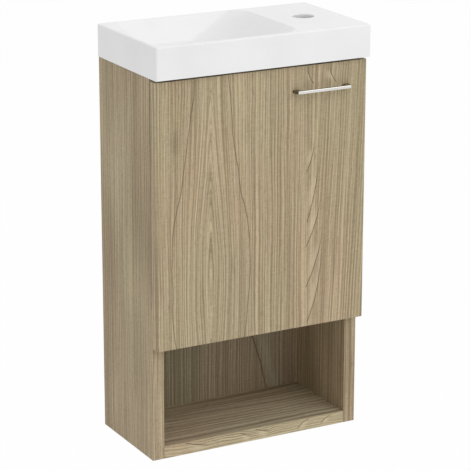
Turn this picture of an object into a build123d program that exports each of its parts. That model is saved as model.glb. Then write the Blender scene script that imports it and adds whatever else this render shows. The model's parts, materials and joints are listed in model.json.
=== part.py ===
from build123d import *
import math
import os

# Wall-hung slimline vanity unit. All sizes are in mm.
# X runs to the right seen from the front, Y runs into the wall, Z runs up.
# Heights are measured from the underside of the cabinet. Each finished node is then lowered
# by ORIGIN_Z, so that the origin is on the wall plane, at the middle of the base panel's rear edge.

# Overall sizes
BASIN_WIDTH = 400.0
BASIN_DEPTH = 220.0
BASIN_SIDE_OVERHANG = 2.5
BASIN_FRONT_OVERHANG = 10.0
CABINET_HEIGHT = 660.0
BOARD = 22.0
NICHE_HEIGHT = 181.0

# Basin, moulded in one piece and hollow underneath
APRON_HEIGHT = 55.0
APRON_WALL = 9.0
DECK_THICKNESS = 14.0
RIM_WIDTH = 6.0
BASIN_CORNER = 4.0
BASIN_EDGE_ROUND = 2.5
DECK_WIDTH = 127.0
BOWL_DEPTH = 47.0
BOWL_SHELL = 7.0
BOWL_TOP_CORNER = 34.0
BOWL_FLOOR_CORNER = 60.0
BOWL_FLOOR_ROUND = 18.0
BOWL_END_SLOPE = 68.0
BOWL_SIDE_SLOPE = 20.0
TAP_FROM_SIDE = 65.0
TAP_FROM_WALL = 105.0
TAP_HOLE_RADIUS = 18.5
TAP_HOLE_ROUND = 2.5
WASTE_HOLE_RADIUS = 23.0
WASTE_SEAT_RADIUS = 29.0
WASTE_BOSS_RADIUS = 32.0
WASTE_SEAT_DEPTH = 2.0
WASTE_BOSS_DROP = 8.0

# Door
DOOR_THICKNESS = 18.0
DOOR_GAP = 2.0
BASIN_GAP = 5.0
DOOR_DROP = 3.0
DOOR_EDGE_ROUND = 0.8
BUMPER_RADIUS = 4.0
BUMPER_AIR = 0.3
BUMPER_DOME = 1.0
BUMPER_FROM_DOOR_END = 15.0

# Boards inside
BOARD_EDGE_ROUND = 0.6
BACK_PANEL = 8.0
BACK_PANEL_RECESS = 19.0
GROOVE_DEPTH = 6.0
GROOVE_AIR = 0.15
RAIL_THICKNESS = 16.0
REAR_RAIL_HEIGHT = 100.0
REAR_RAIL_RECESS = 22.0
FRONT_RAIL_DEPTH = 45.0
SHELF_THICKNESS = 16.0
SHELF_RISE_SHARE = 0.43
SHELF_END_AIR = 2.5
SHELF_FRONT_SETBACK = 22.0
SHELF_BACK_SETBACK = 45.0

# Knock-down joints of the boards
DOWEL_RADIUS = 4.0
DOWEL_LENGTH = 30.0
DOWEL_IN_SIDE = 10.0
DOWEL_FROM_FRONT = 22.0
DOWEL_FROM_WALL = 42.0
DOWEL_FROM_RAIL_EDGE = 10.0
CAM_RADIUS = 7.5
CAM_LENGTH = 12.5
CAM_FROM_END = 24.0
CAM_FROM_FRONT = 52.0
CAM_FROM_WALL = 72.0
CAM_FROM_RAIL_EDGE = 30.0
CAM_SLOT = 1.4
CAM_SLOT_DEPTH = 2.0
BOLT_RADIUS = 2.5
BOLT_IN_SIDE = 10.0
BOLT_HEAD_RADIUS = 3.4
BOLT_HEAD_LENGTH = 4.0
HOLE_AIR = 0.1

# Shelf pins, in two rows of holes on each side
PIN_RADIUS = 2.5
PIN_IN_SIDE = 9.0
PIN_FLANGE_RADIUS = 6.0
PIN_FLANGE = 2.0
PIN_TONGUE_LENGTH = 12.0
PIN_TONGUE_WIDTH = 9.0
PIN_PITCH = 32.0
PIN_FROM_SHELF_EDGE = 20.0

# Bow handle and its screws
HANDLE_HOLE_SPACING = 96.0
HANDLE_LEG_WIDTH = 11.0
HANDLE_PROJECTION = 15.0
HANDLE_BAR = 5.0
HANDLE_HEIGHT = 5.0
HANDLE_LEG_LEAN = 2.0
HANDLE_EDGE_ROUND = 0.7
HANDLE_FROM_SIDE = 88.0
HANDLE_FROM_DOOR_TOP = 41.0
HANDLE_SCREW_RADIUS = 1.5
HANDLE_SCREW_GRIP = 8.0
HANDLE_SCREW_HEAD_RADIUS = 3.2
HANDLE_SCREW_HEAD = 1.6

# Cabinet hangers, one in each upper rear corner
HANGER_LENGTH = 62.0
HANGER_HEIGHT = 44.0
HANGER_WIDTH = 17.0
HANGER_WALL = 2.0
HANGER_FROM_TOP = 16.0
HANGER_NOSE_ROUND = 4.0
HANGER_EDGE_ROUND = 1.5
HANGER_SCREW_FROM_END = 12.0
HOOK_THICKNESS = 2.5
HOOK_HEIGHT = 14.0
HOOK_WALL_AIR = 6.0
HOOK_LIP = 12.0
HOOK_SLOT_WIDTH = 11.0
HOOK_FROM_NOSE = 12.0
HOOK_FROM_SIDE = 7.0
ADJUSTER_RADIUS = 3.0
ADJUSTER_HEAD_RADIUS = 4.0
ADJUSTER_HEAD = 1.5
HANGER_SCREW_RADIUS = 2.0
HANGER_SCREW_GRIP = 13.0
HANGER_SCREW_HEAD_RADIUS = 4.0
HANGER_SCREW_HEAD = 2.0

# Concealed hinges. Each is a four-bar linkage with upright pins, given in plan
# for the closed door. Places are measured from the side panel's inner front edge:
# first number to the right, second number back into the cabinet.
HINGE_FROM_DOOR_END = 80.0
CUP_FROM_DOOR_EDGE = 23.0
CUP_RADIUS = 17.4
CUP_WALL = 1.2
CUP_DEPTH = 12.3
CUP_RIM = 0.7
CUP_RIM_RADIUS = 18.6
CUP_EAR_OFFSET = 6.0
CUP_SCREW_SPACING = 48.0
CUP_EAR_RADIUS = 5.5
CUP_SCREW_RADIUS = 1.5
CUP_SCREW_GRIP = 10.0
CUP_SCREW_HEAD_RADIUS = 3.0
CUP_SCREW_HEAD = 0.8
OUTER_LINK_ARM_PIN = (16.4, 23.1)
OUTER_LINK_ELBOW = (16.0, -0.2)
OUTER_LINK_CUP_PIN = (-11.3, -3.5)
INNER_LINK_ARM_PIN = (10.5, 3.0)
INNER_LINK_ELBOW = (-1.6, -11.5)
INNER_LINK_CUP_PIN = (-8.45, -5.9)
INNER_LINK_EYE = (-8.35, -6.6)
LINK_THICKNESS = 1.6
INNER_LINK_HALF_HEIGHT = 3.2
OUTER_LINK_LOW = 4.0
OUTER_LINK_HIGH = 5.6
ARM_CHEEK_LOW = 6.4
ARM_CHEEK_HIGH = 7.6
ARM_PIN_RADIUS = 1.25
CUP_PIN_RADIUS = 1.2
ARM_EYE_RADIUS = 2.3
CUP_EYE_RADIUS = 2.1
PIN_AIR = 0.1
LOOSE_EYE_PLAY = 0.8
LOOSE_EYE_WALL = 0.9
PLATE_THICKNESS = 2.5
PLATE_HALF_HEIGHT = 9.0
PLATE_FRONT = 18.0
PLATE_BACK = 56.0
PLATE_SCREWS_BACK = 37.0
PLATE_SCREW_SPACING = 32.0
PLATE_WING_RADIUS = 6.5
RIDGE_HALF_HEIGHT = 6.2
RIDGE_FROM_PLATE_FRONT = 6.0
PLATE_CORNER = 2.0
RIDGE_TOP = 7.5
ARM_WEB = 1.2
ARM_NECK_BACK = 44.0
CHEEK_MARGIN = 3.3
CHEEK_DROP = 4.0
CHEEK_ROUND = 1.4
ARM_BACK = 78.0
ARM_SCREW_BACK = 50.0
ARM_SCREW_RADIUS = 1.9
ARM_SCREW_GRIP = 6.0
ARM_SCREW_HEAD_RADIUS = 3.4
ARM_SCREW_HEAD = 1.6
PLATE_SCREW_RADIUS = 2.0
PLATE_SCREW_GRIP = 12.0
PLATE_SCREW_HEAD_RADIUS = 3.8
PLATE_SCREW_HEAD = 1.8

# Derived sizes and positions
ORIGIN_Z = BOARD / 2
CABINET_WIDTH = BASIN_WIDTH - 2 * BASIN_SIDE_OVERHANG
CABINET_DEPTH = BASIN_DEPTH - BASIN_FRONT_OVERHANG - DOOR_THICKNESS - DOOR_GAP
BASIN_Z = CABINET_HEIGHT
RIM_Z = BASIN_Z + APRON_HEIGHT
DECK_UNDER_Z = RIM_Z - DECK_THICKNESS
TAP_X = BASIN_WIDTH / 2 - TAP_FROM_SIDE
TAP_Y = -TAP_FROM_WALL
BOWL_LEFT_X = RIM_WIDTH - BASIN_WIDTH / 2
BOWL_RIGHT_X = BASIN_WIDTH / 2 - DECK_WIDTH
BOWL_CENTRE_X = (BOWL_LEFT_X + BOWL_RIGHT_X) / 2
BOWL_CENTRE_Y = -BASIN_DEPTH / 2
BOWL_LENGTH = BOWL_RIGHT_X - BOWL_LEFT_X
BOWL_WIDTH = BASIN_DEPTH - 2 * RIM_WIDTH
FLOOR_LENGTH = BOWL_LENGTH - BOWL_END_SLOPE - BOWL_SIDE_SLOPE
FLOOR_WIDTH = BOWL_WIDTH - 2 * BOWL_SIDE_SLOPE
FLOOR_CENTRE_X = BOWL_LEFT_X + BOWL_SIDE_SLOPE + FLOOR_LENGTH / 2
FLOOR_Z = RIM_Z - BOWL_DEPTH
SIDE_X = CABINET_WIDTH / 2
INNER_X = SIDE_X - BOARD
FRONT_Y = -CABINET_DEPTH
SHELF_BOTTOM_Z = BOARD + NICHE_HEIGHT
CUPBOARD_FLOOR_Z = SHELF_BOTTOM_Z + BOARD
SHELF_UNDERSIDE_Z = CUPBOARD_FLOOR_Z + SHELF_RISE_SHARE * (CABINET_HEIGHT - CUPBOARD_FLOOR_Z)
BACK_PANEL_FRONT_Y = -BACK_PANEL_RECESS - BACK_PANEL
REAR_RAIL_BACK_Y = -REAR_RAIL_RECESS
REAR_RAIL_FRONT_Y = REAR_RAIL_BACK_Y - RAIL_THICKNESS
FRONT_RAIL_Z = CABINET_HEIGHT - RAIL_THICKNESS
DOOR_TOP_Z = CABINET_HEIGHT - BASIN_GAP
DOOR_BOTTOM_Z = SHELF_BOTTOM_Z - DOOR_DROP
HANDLE_CENTRE_X = SIDE_X - HANDLE_FROM_SIDE
HANDLE_Z = DOOR_TOP_Z - HANDLE_FROM_DOOR_TOP
HANGER_Z = CABINET_HEIGHT - HANGER_FROM_TOP - HANGER_HEIGHT
PIN_ROW_FRONT_Y = FRONT_Y + SHELF_FRONT_SETBACK + PIN_FROM_SHELF_EDGE
PIN_ROW_BACK_Y = -SHELF_BACK_SETBACK - PIN_FROM_SHELF_EDGE
DOOR_BACK_Y = FRONT_Y - DOOR_GAP
DOOR_FRONT_Y = DOOR_BACK_Y - DOOR_THICKNESS


def block(x0, x1, y0, y1, z0, z1):
    """A box between two opposite corners."""
    centre = Pos((x0 + x1) / 2, (y0 + y1) / 2, (z0 + z1) / 2)
    return centre * Box(x1 - x0, y1 - y0, z1 - z0)


def rod_x(x0, x1, y, z, radius):
    """A round bar along X."""
    return Pos((x0 + x1) / 2, y, z) * Rot(0, 90, 0) * Cylinder(radius, x1 - x0)


def rod_y(x, y0, y1, z, radius):
    """A round bar along Y."""
    return Pos(x, (y0 + y1) / 2, z) * Rot(90, 0, 0) * Cylinder(radius, y1 - y0)


def rod_z(x, y, z0, z1, radius):
    """A round bar along Z."""
    return Pos(x, y, (z0 + z1) / 2) * Cylinder(radius, z1 - z0)


def mirrored(shapes):
    """The right-hand shapes and their twins on the left of the cabinet."""
    return shapes + [mirror(shape, about=Plane.YZ) for shape in shapes]


def softened(board, radius=BOARD_EDGE_ROUND):
    """A board with all its edges slightly rounded."""
    return fillet(board.edges(), radius)


def cut(body, tools):
    """The body with every tool taken away."""
    for tool in tools:
        body = body - tool
    return body


# Basin

def bowl_form(grow, depth):
    """The bowl's hollow, or its outer shell when grown. The tap end slopes most."""
    top = Plane.XY.offset(RIM_Z) * Pos(BOWL_CENTRE_X, BOWL_CENTRE_Y)
    top *= RectangleRounded(BOWL_LENGTH + 2 * grow, BOWL_WIDTH + 2 * grow, BOWL_TOP_CORNER + grow)
    floor = Plane.XY.offset(RIM_Z - depth) * Pos(FLOOR_CENTRE_X, BOWL_CENTRE_Y)
    floor *= RectangleRounded(FLOOR_LENGTH + 2 * grow, FLOOR_WIDTH + 2 * grow, BOWL_FLOOR_CORNER + grow)
    form = loft([top, floor])
    return fillet(form.edges().group_by(Axis.Z)[0], BOWL_FLOOR_ROUND + grow)


def make_basin():
    """One ceramic moulding: apron, tap deck, offset bowl, tap hole and waste hole."""
    outline = Pos(0, -BASIN_DEPTH / 2) * RectangleRounded(BASIN_WIDTH, BASIN_DEPTH, BASIN_CORNER)
    body = Pos(0, 0, BASIN_Z) * extrude(outline, APRON_HEIGHT)
    body = fillet(body.edges().group_by(Axis.Z)[-1], BASIN_EDGE_ROUND)
    hollow = block(
        APRON_WALL - BASIN_WIDTH / 2, BASIN_WIDTH / 2 - APRON_WALL,
        APRON_WALL - BASIN_DEPTH, -APRON_WALL,
        BASIN_Z, DECK_UNDER_Z,
    )
    shell = bowl_form(BOWL_SHELL, BOWL_DEPTH + BOWL_SHELL)
    waste = (FLOOR_CENTRE_X, BOWL_CENTRE_Y)
    boss = rod_z(*waste, FLOOR_Z - BOWL_SHELL - WASTE_BOSS_DROP, FLOOR_Z, WASTE_BOSS_RADIUS)
    envelope = block(
        -BASIN_WIDTH / 2, BASIN_WIDTH / 2, -BASIN_DEPTH, 0, BASIN_Z, DECK_UNDER_Z,
    )
    body = body - hollow + (shell & envelope) + boss
    body = body - bowl_form(0, BOWL_DEPTH)
    body = body - rod_z(*waste, BASIN_Z - 2 * WASTE_BOSS_DROP, RIM_Z, WASTE_HOLE_RADIUS)
    body = body - rod_z(*waste, FLOOR_Z - WASTE_SEAT_DEPTH, RIM_Z, WASTE_SEAT_RADIUS)
    body = body - rod_z(TAP_X, TAP_Y, BASIN_Z, RIM_Z + 1, TAP_HOLE_RADIUS)
    tap_edge = [
        edge for edge in body.edges().filter_by(GeomType.CIRCLE)
        if abs(edge.radius - TAP_HOLE_RADIUS) < HOLE_AIR and edge.center().Z > DECK_UNDER_Z + 1
    ]
    return fillet(tap_edge, TAP_HOLE_ROUND)


# Cabinet boards and the joints that hold them

def board_end_joints(dowels, cams, cam_axis):
    """Dowels, cam locks and cam bolts at the right-hand end of a board.

    dowels and cams are lists of (y, z) places on the side panel's inner face.
    cam_axis is the direction from which the cam lock is let into the board.
    """
    dowel_rods = [
        rod_x(INNER_X + DOWEL_IN_SIDE - DOWEL_LENGTH, INNER_X + DOWEL_IN_SIDE, y, z, DOWEL_RADIUS)
        for y, z in dowels
    ]
    locks = [make_cam_lock(y, z, cam_axis) for y, z in cams]
    bolts = [make_cam_bolt(y, z) for y, z in cams]
    return dowel_rods, locks, bolts


def cam_place(y, z, cam_axis):
    """The frame of a cam lock, centred on its bolt, with Z along cam_axis."""
    return Plane(origin=(INNER_X - CAM_FROM_END, y, z), x_dir=(1, 0, 0), z_dir=cam_axis)


def make_cam_lock(y, z, cam_axis):
    """A round cam with a throat for the bolt head and a cross slot on its face."""
    lock = Cylinder(CAM_RADIUS, CAM_LENGTH)
    throat = rod_x(0, CAM_RADIUS + 1, 0, 0, BOLT_HEAD_RADIUS + HOLE_AIR)
    slot = Pos(0, 0, CAM_LENGTH / 2) * Box(CAM_RADIUS, CAM_SLOT, 2 * CAM_SLOT_DEPTH)
    cross = Pos(0, 0, CAM_LENGTH / 2) * Box(CAM_SLOT, CAM_RADIUS, 2 * CAM_SLOT_DEPTH)
    return cam_place(y, z, cam_axis) * cut(lock, [throat, slot, cross])


def make_cam_bolt(y, z):
    """A bolt screwed into the side panel, with its head inside the cam."""
    head_x = INNER_X - CAM_FROM_END + HOLE_AIR
    shank = rod_x(head_x, INNER_X + BOLT_IN_SIDE, y, z, BOLT_RADIUS)
    head = rod_x(head_x, head_x + BOLT_HEAD_LENGTH, y, z, BOLT_HEAD_RADIUS)
    return shank + head


def cam_pocket(y, z, cam_axis, depth):
    """The round pocket for a cam lock and the hole for its bolt."""
    reach = depth - CAM_LENGTH / 2
    pocket = Pos(0, 0, (reach - CAM_LENGTH / 2 - HOLE_AIR) / 2)
    pocket *= Cylinder(CAM_RADIUS + HOLE_AIR, reach + CAM_LENGTH / 2 + HOLE_AIR)
    bolt_hole = rod_x(INNER_X - CAM_FROM_END, INNER_X, y, z, BOLT_HEAD_RADIUS + HOLE_AIR)
    return [cam_place(y, z, cam_axis) * pocket, bolt_hole]


def dowel_hole(y, z):
    """A hole for one dowel, through the joint into both boards."""
    inner_end = INNER_X + DOWEL_IN_SIDE - DOWEL_LENGTH - HOLE_AIR
    return rod_x(inner_end, INNER_X + DOWEL_IN_SIDE + HOLE_AIR, y, z, DOWEL_RADIUS + HOLE_AIR / 2)


def bolt_hole(y, z):
    """The hole in the side panel for a cam bolt."""
    return rod_x(INNER_X, INNER_X + BOLT_IN_SIDE + HOLE_AIR, y, z, BOLT_RADIUS + HOLE_AIR / 2)


DEEP_BOARD_DOWELS_Y = (FRONT_Y + DOWEL_FROM_FRONT, -DOWEL_FROM_WALL)
DEEP_BOARD_CAMS_Y = (FRONT_Y + CAM_FROM_FRONT, -CAM_FROM_WALL)
BASE_MID_Z = BOARD / 2
SHELF_MID_Z = SHELF_BOTTOM_Z + BOARD / 2
REAR_RAIL_MID_Y = REAR_RAIL_BACK_Y - RAIL_THICKNESS / 2
REAR_RAIL_BOTTOM_Z = CABINET_HEIGHT - REAR_RAIL_HEIGHT
REAR_RAIL_DOWELS_Z = (REAR_RAIL_BOTTOM_Z + DOWEL_FROM_RAIL_EDGE, CABINET_HEIGHT - DOWEL_FROM_RAIL_EDGE)
REAR_RAIL_CAM_Z = REAR_RAIL_BOTTOM_Z + CAM_FROM_RAIL_EDGE
FRONT_RAIL_MID_Z = FRONT_RAIL_Z + RAIL_THICKNESS / 2
FRONT_RAIL_DOWEL_Y = FRONT_Y + DOWEL_FROM_RAIL_EDGE
FRONT_RAIL_CAM_Y = FRONT_Y + CAM_FROM_RAIL_EDGE

# For each board: dowel places, cam places, the side the cams are let in from, and its thickness
JOINTS = {
    "base": (
        [(y, BASE_MID_Z) for y in DEEP_BOARD_DOWELS_Y],
        [(y, BASE_MID_Z) for y in DEEP_BOARD_CAMS_Y],
        (0, 0, -1), BOARD,
    ),
    "shelf": (
        [(y, SHELF_MID_Z) for y in DEEP_BOARD_DOWELS_Y],
        [(y, SHELF_MID_Z) for y in DEEP_BOARD_CAMS_Y],
        (0, 0, 1), BOARD,
    ),
    "rear_rail": (
        [(REAR_RAIL_MID_Y, z) for z in REAR_RAIL_DOWELS_Z],
        [(REAR_RAIL_MID_Y, REAR_RAIL_CAM_Z)],
        (0, 1, 0), RAIL_THICKNESS,
    ),
    "front_rail": (
        [(FRONT_RAIL_DOWEL_Y, FRONT_RAIL_MID_Z)],
        [(FRONT_RAIL_CAM_Y, FRONT_RAIL_MID_Z)],
        (0, 0, -1), RAIL_THICKNESS,
    ),
}


def joint_cuts(name):
    """All dowel holes and cam pockets at both ends of one board."""
    dowels, cams, cam_axis, thickness = JOINTS[name]
    cuts = [dowel_hole(y, z) for y, z in dowels]
    for y, z in cams:
        cuts += cam_pocket(y, z, cam_axis, (thickness + CAM_LENGTH) / 2 + 1)
    return mirrored(cuts)


def make_side_panel():
    """The right-hand side panel, with its joint holes, groove and pin holes."""
    panel = softened(block(INNER_X, SIDE_X, FRONT_Y, 0, 0, CABINET_HEIGHT))
    cuts = [back_panel_groove()]
    for dowels, cams, _, _ in JOINTS.values():
        cuts += [dowel_hole(y, z) for y, z in dowels]
        cuts += [bolt_hole(y, z) for y, z in cams]
    for row_y in (PIN_ROW_FRONT_Y, PIN_ROW_BACK_Y):
        for step in (-1, 0, 1):
            z = SHELF_UNDERSIDE_Z - PIN_RADIUS + step * PIN_PITCH
            end_x = INNER_X + PIN_IN_SIDE + HOLE_AIR
            cuts.append(rod_x(INNER_X, end_x, row_y, z, PIN_RADIUS + HOLE_AIR / 2))
    for y in HANGER_SCREWS_Y:
        end_x = INNER_X + HANGER_SCREW_GRIP + HOLE_AIR
        cuts.append(rod_x(INNER_X, end_x, y, HANGER_MID_Z, HANGER_SCREW_RADIUS))
    return cut(panel, cuts)


def back_panel_groove():
    """The groove that holds the niche's back panel, as a slab cut from its neighbours."""
    return block(
        -INNER_X - GROOVE_DEPTH - GROOVE_AIR, INNER_X + GROOVE_DEPTH + GROOVE_AIR,
        BACK_PANEL_FRONT_Y - GROOVE_AIR, -BACK_PANEL_RECESS + GROOVE_AIR,
        BOARD - GROOVE_DEPTH, SHELF_BOTTOM_Z + GROOVE_DEPTH,
    )


def make_deep_board(name, z):
    """The base panel or the fixed middle shelf, between the sides."""
    board = softened(block(-INNER_X, INNER_X, FRONT_Y, 0, z, z + BOARD))
    return cut(board, joint_cuts(name) + [back_panel_groove()])


def make_niche_back_panel():
    """The thin panel behind the niche. It stands in the grooves around it."""
    return block(
        -INNER_X - GROOVE_DEPTH, INNER_X + GROOVE_DEPTH,
        BACK_PANEL_FRONT_Y, -BACK_PANEL_RECESS,
        BOARD - GROOVE_DEPTH, SHELF_BOTTOM_Z + GROOVE_DEPTH - GROOVE_AIR,
    )


def make_rear_rail():
    """The rail that ties the sides at the wall, notched for the hanger hooks."""
    rail = softened(block(
        -INNER_X, INNER_X, REAR_RAIL_FRONT_Y, REAR_RAIL_BACK_Y,
        CABINET_HEIGHT - REAR_RAIL_HEIGHT, CABINET_HEIGHT,
    ))
    notch = block(
        INNER_X - HOOK_SLOT_WIDTH, INNER_X, REAR_RAIL_FRONT_Y, REAR_RAIL_BACK_Y,
        HANGER_MID_Z - HOOK_HEIGHT, HANGER_MID_Z + HOOK_HEIGHT,
    )
    return cut(rail, joint_cuts("rear_rail") + mirrored([notch]))


def make_front_rail():
    """The flat rail that ties the sides under the basin's front."""
    rail = softened(block(
        -INNER_X, INNER_X, FRONT_Y, FRONT_Y + FRONT_RAIL_DEPTH, FRONT_RAIL_Z, CABINET_HEIGHT,
    ))
    return cut(rail, joint_cuts("front_rail"))


def make_cupboard_shelf():
    """The loose shelf, short of the back so that pipes can pass behind it."""
    half = INNER_X - SHELF_END_AIR
    return softened(block(
        -half, half, FRONT_Y + SHELF_FRONT_SETBACK, -SHELF_BACK_SETBACK,
        SHELF_UNDERSIDE_Z, SHELF_UNDERSIDE_Z + SHELF_THICKNESS,
    ))


# Shelf pins

def make_shelf_pin(y):
    """A pin with a flange against the side and a flat tongue under the shelf."""
    axis_z = SHELF_UNDERSIDE_Z - PIN_RADIUS
    pin = rod_x(INNER_X - 1, INNER_X + PIN_IN_SIDE, y, axis_z, PIN_RADIUS)
    flange = rod_x(INNER_X - PIN_FLANGE, INNER_X, y, axis_z, PIN_FLANGE_RADIUS)
    tongue = block(
        INNER_X - PIN_TONGUE_LENGTH, INNER_X - 1,
        y - PIN_TONGUE_WIDTH / 2, y + PIN_TONGUE_WIDTH / 2,
        SHELF_UNDERSIDE_Z - 2 * PIN_RADIUS, SHELF_UNDERSIDE_Z,
    )
    return pin + flange + tongue


# Cabinet hangers

HANGER_MID_Z = HANGER_Z + HANGER_HEIGHT / 2
HANGER_FRONT_Y = REAR_RAIL_FRONT_Y - HANGER_LENGTH
HANGER_SCREWS_Y = (
    HANGER_FRONT_Y + HANGER_SCREW_FROM_END,
    REAR_RAIL_FRONT_Y - HANGER_SCREW_FROM_END,
)


def make_hanger_housing():
    """The plastic housing screwed to the side panel, open toward the wall."""
    inner_face = INNER_X - HANGER_WIDTH
    housing = block(
        inner_face, INNER_X, HANGER_FRONT_Y, REAR_RAIL_FRONT_Y, HANGER_Z, HANGER_Z + HANGER_HEIGHT,
    )
    housing = fillet(housing.edges().filter_by(Axis.X).group_by(Axis.Y)[0], HANGER_NOSE_ROUND)
    housing = fillet(housing.faces().sort_by(Axis.X)[0].edges(), HANGER_EDGE_ROUND)
    hollow = block(
        inner_face + HANGER_WALL, INNER_X - HANGER_WALL,
        HANGER_FRONT_Y + HANGER_WALL, REAR_RAIL_FRONT_Y,
        HANGER_Z + HANGER_WALL, HANGER_Z + HANGER_HEIGHT - HANGER_WALL,
    )
    adjuster_x = INNER_X - HOOK_FROM_SIDE - HOOK_THICKNESS / 2
    adjuster_hole = rod_y(
        adjuster_x, HANGER_FRONT_Y, HANGER_FRONT_Y + HANGER_WALL, HANGER_MID_Z, ADJUSTER_RADIUS + HOLE_AIR,
    )
    cuts = [hollow, adjuster_hole]
    for y in HANGER_SCREWS_Y:
        seat_x = INNER_X - HANGER_WALL
        cuts.append(rod_x(inner_face, seat_x, y, HANGER_MID_Z, HANGER_SCREW_HEAD_RADIUS + 1))
        cuts.append(rod_x(seat_x, INNER_X, y, HANGER_MID_Z, HANGER_SCREW_RADIUS + HOLE_AIR))
    return cut(housing, cuts)


def hook_front_y():
    """Where the hook ends against the adjusting screw."""
    return HANGER_FRONT_Y + HOOK_FROM_NOSE


def make_hanger_hook():
    """The steel hook that reaches back through the rail and turns up at the wall."""
    front_y = hook_front_y()
    wall_y = -HOOK_WALL_AIR
    low_z = HANGER_MID_Z - HOOK_HEIGHT / 2
    high_z = HANGER_MID_Z + HOOK_HEIGHT / 2
    lip_y = wall_y - HOOK_THICKNESS
    outline = Polyline(
        (front_y, low_z), (wall_y, low_z), (wall_y, high_z + HOOK_LIP),
        (lip_y, high_z + HOOK_LIP), (lip_y, high_z), (front_y, high_z), close=True,
    )
    profile = Plane.YZ.offset(INNER_X - HOOK_FROM_SIDE - HOOK_THICKNESS) * make_face(outline)
    return extrude(profile, HOOK_THICKNESS)


def make_hanger_adjuster():
    """The screw through the housing's front that draws the hook toward the cabinet."""
    x = INNER_X - HOOK_FROM_SIDE - HOOK_THICKNESS / 2
    shank = rod_y(x, HANGER_FRONT_Y, hook_front_y(), HANGER_MID_Z, ADJUSTER_RADIUS)
    head = rod_y(x, HANGER_FRONT_Y - ADJUSTER_HEAD, HANGER_FRONT_Y, HANGER_MID_Z, ADJUSTER_HEAD_RADIUS)
    return shank + head


def make_hanger_screw(y):
    """A pan-head screw through the housing into the side panel."""
    seat_x = INNER_X - HANGER_WALL
    shank = rod_x(seat_x, INNER_X + HANGER_SCREW_GRIP, y, HANGER_MID_Z, HANGER_SCREW_RADIUS)
    head = rod_x(seat_x - HANGER_SCREW_HEAD, seat_x, y, HANGER_MID_Z, HANGER_SCREW_HEAD_RADIUS)
    return shank + head


# Door, bumpers and handle

HANDLE_LENGTH = HANDLE_HOLE_SPACING + HANDLE_LEG_WIDTH
HANDLE_SCREWS_X = (
    HANDLE_CENTRE_X - HANDLE_HOLE_SPACING / 2,
    HANDLE_CENTRE_X + HANDLE_HOLE_SPACING / 2,
)
BUMPER_X = (INNER_X + SIDE_X) / 2
BUMPERS_Z = (DOOR_BOTTOM_Z + BUMPER_FROM_DOOR_END, DOOR_TOP_Z - BUMPER_FROM_DOOR_END)


def make_door_panel():
    """The door, drilled for the handle screws and recessed for the hinge cups."""
    panel = block(-SIDE_X, SIDE_X, DOOR_FRONT_Y, DOOR_BACK_Y, DOOR_BOTTOM_Z, DOOR_TOP_Z)
    panel = softened(panel, DOOR_EDGE_ROUND)
    cuts = [
        rod_y(x, DOOR_FRONT_Y, DOOR_BACK_Y, HANDLE_Z, HANDLE_SCREW_RADIUS + 2 * HOLE_AIR)
        for x in HANDLE_SCREWS_X
    ]
    for hinge_z in HINGES_Z:
        cuts += [Pos(0, 0, hinge_z) * tool for tool in cup_door_cuts()]
    return cut(panel, cuts)


def make_door_bumper(z):
    """A soft domed bumper on the door's back, just short of the side panel's edge."""
    height = DOOR_GAP - BUMPER_AIR
    bumper = rod_y(BUMPER_X, DOOR_BACK_Y, DOOR_BACK_Y + height, z, BUMPER_RADIUS)
    return fillet(bumper.edges().group_by(Axis.Y)[-1], BUMPER_DOME)


def make_handle():
    """A slim bow handle: two legs that lean inward and a straight bar."""
    half = HANDLE_LENGTH / 2
    half_gap = half - HANDLE_LEG_WIDTH
    inner = HANDLE_PROJECTION - HANDLE_BAR
    outer_outline = Polyline(
        (-half, 0), (-half + HANDLE_LEG_LEAN, -HANDLE_PROJECTION),
        (half - HANDLE_LEG_LEAN, -HANDLE_PROJECTION), (half, 0), close=True,
    )
    gap_outline = Polyline(
        (-half_gap, 0), (-half_gap - HANDLE_LEG_LEAN, -inner),
        (half_gap + HANDLE_LEG_LEAN, -inner), (half_gap, 0), close=True,
    )
    bar = extrude(make_face(outer_outline), HANDLE_HEIGHT)
    bar = fillet(bar.edges().filter_by(Axis.Z).group_by(Axis.Y)[0], HANDLE_BAR / 2)
    gap = extrude(make_face(gap_outline), HANDLE_HEIGHT)
    gap = fillet(gap.edges().filter_by(Axis.Z).group_by(Axis.Y)[0], HANDLE_BAR / 2)
    bow = bar - gap
    bow = fillet(bow.faces().sort_by(Axis.Z)[-1].edges(), HANDLE_EDGE_ROUND)
    bow = fillet(bow.faces().sort_by(Axis.Z)[0].edges(), HANDLE_EDGE_ROUND)
    bow = Pos(HANDLE_CENTRE_X, DOOR_FRONT_Y, HANDLE_Z - HANDLE_HEIGHT / 2) * bow
    holes = [
        rod_y(x, DOOR_FRONT_Y - HANDLE_SCREW_GRIP - 1, DOOR_FRONT_Y, HANDLE_Z, HANDLE_SCREW_RADIUS)
        for x in HANDLE_SCREWS_X
    ]
    return cut(bow, holes)


def make_handle_screw(x):
    """A flat-head machine screw through the door into one leg of the handle."""
    shank = rod_y(x, DOOR_FRONT_Y - HANDLE_SCREW_GRIP, DOOR_BACK_Y, HANDLE_Z, HANDLE_SCREW_RADIUS)
    head = rod_y(x, DOOR_BACK_Y, DOOR_BACK_Y + HANDLE_SCREW_HEAD, HANDLE_Z, HANDLE_SCREW_HEAD_RADIUS)
    return shank + head


# Concealed hinges

HINGES_Z = (DOOR_BOTTOM_Z + HINGE_FROM_DOOR_END, DOOR_TOP_Z - HINGE_FROM_DOOR_END)
CUP_X = CUP_FROM_DOOR_EDGE - SIDE_X
CUP_SCREW_X = CUP_X + CUP_EAR_OFFSET
PANEL_FACE_X = -INNER_X
PLATE_SCREW_Y = FRONT_Y + PLATE_SCREWS_BACK


def hinge_place(offset):
    """A place in plan, from its distance to the left panel's inner front edge."""
    return PANEL_FACE_X + offset[0], FRONT_Y + offset[1]


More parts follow.
